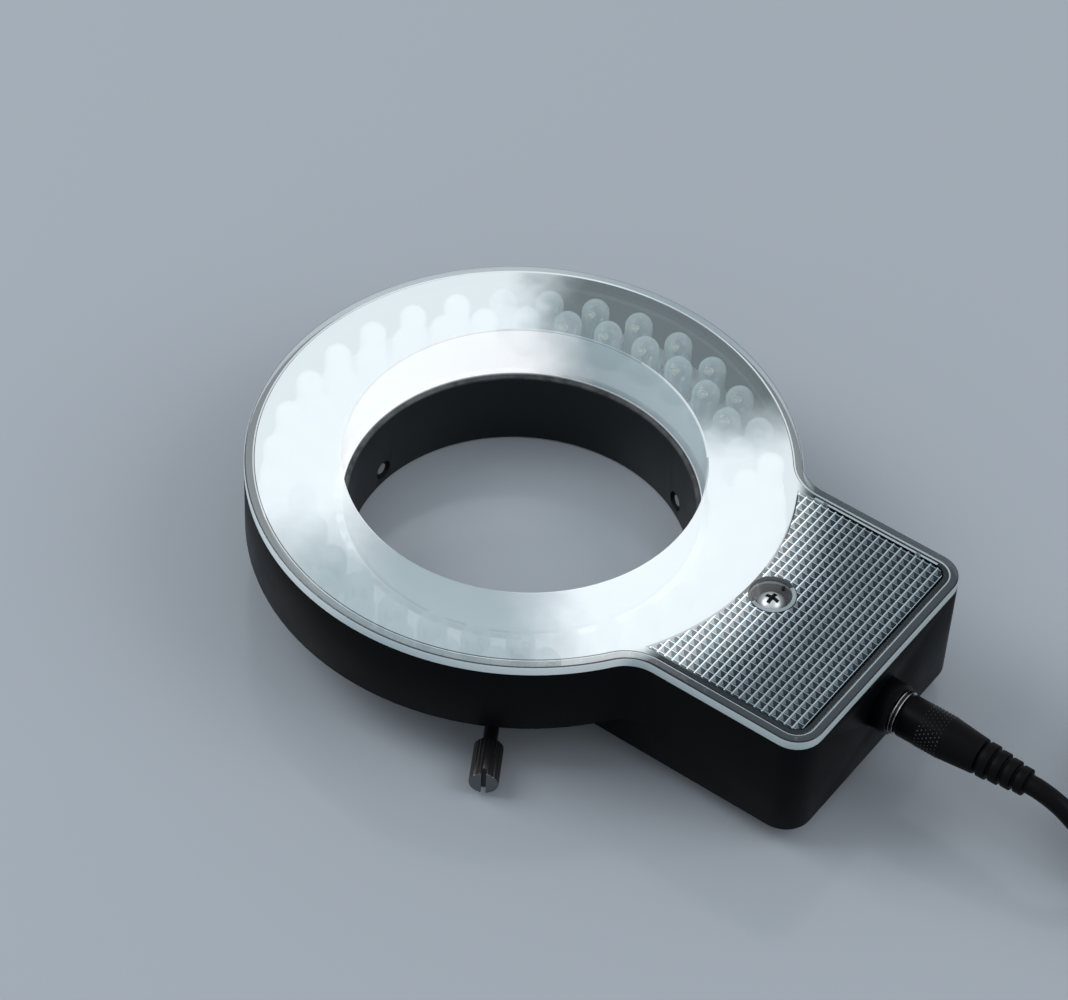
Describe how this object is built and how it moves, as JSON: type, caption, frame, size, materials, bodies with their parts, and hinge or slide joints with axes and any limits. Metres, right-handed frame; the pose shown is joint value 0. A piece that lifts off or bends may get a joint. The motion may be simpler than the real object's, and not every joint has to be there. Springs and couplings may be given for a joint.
{
  "type": "microscope ring light",
  "caption": "Clip-on ring light for a stereo microscope: clear-covered lamps round a clamping collar, a driver tail with a prism panel, thumb screws and a low-voltage lead.",
  "frame": {"origin": "on the bore's axis at the collar's free end, the face that it stands on", "axes": "+Z along the bore towards the lamps, +X along the tail"},
  "size_m": [0.213, 0.1065, 0.0261],
  "materials": {
    "housing": "matt black moulding",
    "collar": "black satin anodised",
    "board_white": "white solder mask",
    "lamp_lit": "water clear, lit",
    "lamp_clear": "water clear, unlit",
    "clear_cover": "clear polished",
    "clear_panel": "clear prismatic",
    "steel": "bright nickel",
    "brass": "plain",
    "black_steel": "black oxide",
    "board_green": "green solder mask",
    "chip": "moulded black",
    "ferrite": "sintered grey",
    "can": "bright can",
    "socket": "black",
    "wire_red": "insulated",
    "plug": "black moulding",
    "boot": "black",
    "cord": "black sheath",
    "tie": "black hook and loop",
    "screw_black": "black oxide, bright end",
    "tip": "soft nylon"
  },
  "bodies": {
    "head": {"housing": "housing", "collar": "collar", "led_board": "board_white", "led_segment_1": "lamp_lit", "led_segment_2": "lamp_clear", "led_segment_3": "lamp_lit", "led_segment_4": "lamp_clear", "lens_cover": "clear_cover", "prism_panel": "clear_panel", "cover_screw": "steel", "cover_insert": "brass", "board_screws": "steel", "collar_screws": "black_steel", "driver_board": "board_green", "driver_chip": "chip", "choke": "ferrite", "capacitor": "can", "segment_resistors": "chip", "link_header": "chip", "driver_screws": "steel", "dc_socket": "socket", "socket_nut": "steel", "socket_wires": "wire_red", "plug_barrel": "steel", "plug_ring": "steel", "plug_body": "plug", "strain_relief": "boot", "lead_cord": "cord", "lead_coil": "cord", "coil_tie": "tie", "far_plug_barrel": "steel", "far_plug_ring": "steel", "far_plug_body": "plug", "far_strain_relief": "boot"},
    "tip_1": {"screw_tip_1": "tip"},
    "screw_1": {"thumb_screw_1": "screw_black"},
    "tip_2": {"screw_tip_2": "tip"},
    "screw_2": {"thumb_screw_2": "screw_black"},
    "tip_3": {"screw_tip_3": "tip"},
    "screw_3": {"thumb_screw_3": "screw_black"}
  },
  "joints": [
    {"name": "clamp_slide_1", "type": "slide", "parent": "head", "child": "tip_1", "axis": [1, 0, 0], "range_m": [-0.00045, 0.0108]},
    {"name": "clamp_turn_1", "type": "hinge", "parent": "tip_1", "child": "screw_1", "pos_m": [-0.033, 0, 0.0035], "axis": [1, 0, 0], "range_deg": [-361, 8641]},
    {"name": "clamp_slide_2", "type": "slide", "parent": "head", "child": "tip_2", "axis": [-0.5, -0.866, 0], "range_m": [-0.00045, 0.0108]},
    {"name": "clamp_turn_2", "type": "hinge", "parent": "tip_2", "child": "screw_2", "pos_m": [0.0165, 0.02858, 0.0035], "axis": [-0.5, -0.866, 0], "range_deg": [-361, 8641]},
    {"name": "clamp_slide_3", "type": "slide", "parent": "head", "child": "tip_3", "axis": [-0.5, 0.866, 0], "range_m": [-0.00045, 0.0108]},
    {"name": "clamp_turn_3", "type": "hinge", "parent": "tip_3", "child": "screw_3", "pos_m": [0.0165, -0.02858, 0.0035], "axis": [-0.5, 0.866, 0], "range_deg": [-361, 8641]}
  ],
  "couplings": [
    {"joint": "clamp_turn_1", "follows": "clamp_slide_1", "rad_per_m": 13963},
    {"joint": "clamp_turn_2", "follows": "clamp_slide_2", "rad_per_m": 13963},
    {"joint": "clamp_turn_3", "follows": "clamp_slide_3", "rad_per_m": 13963}
  ]
}
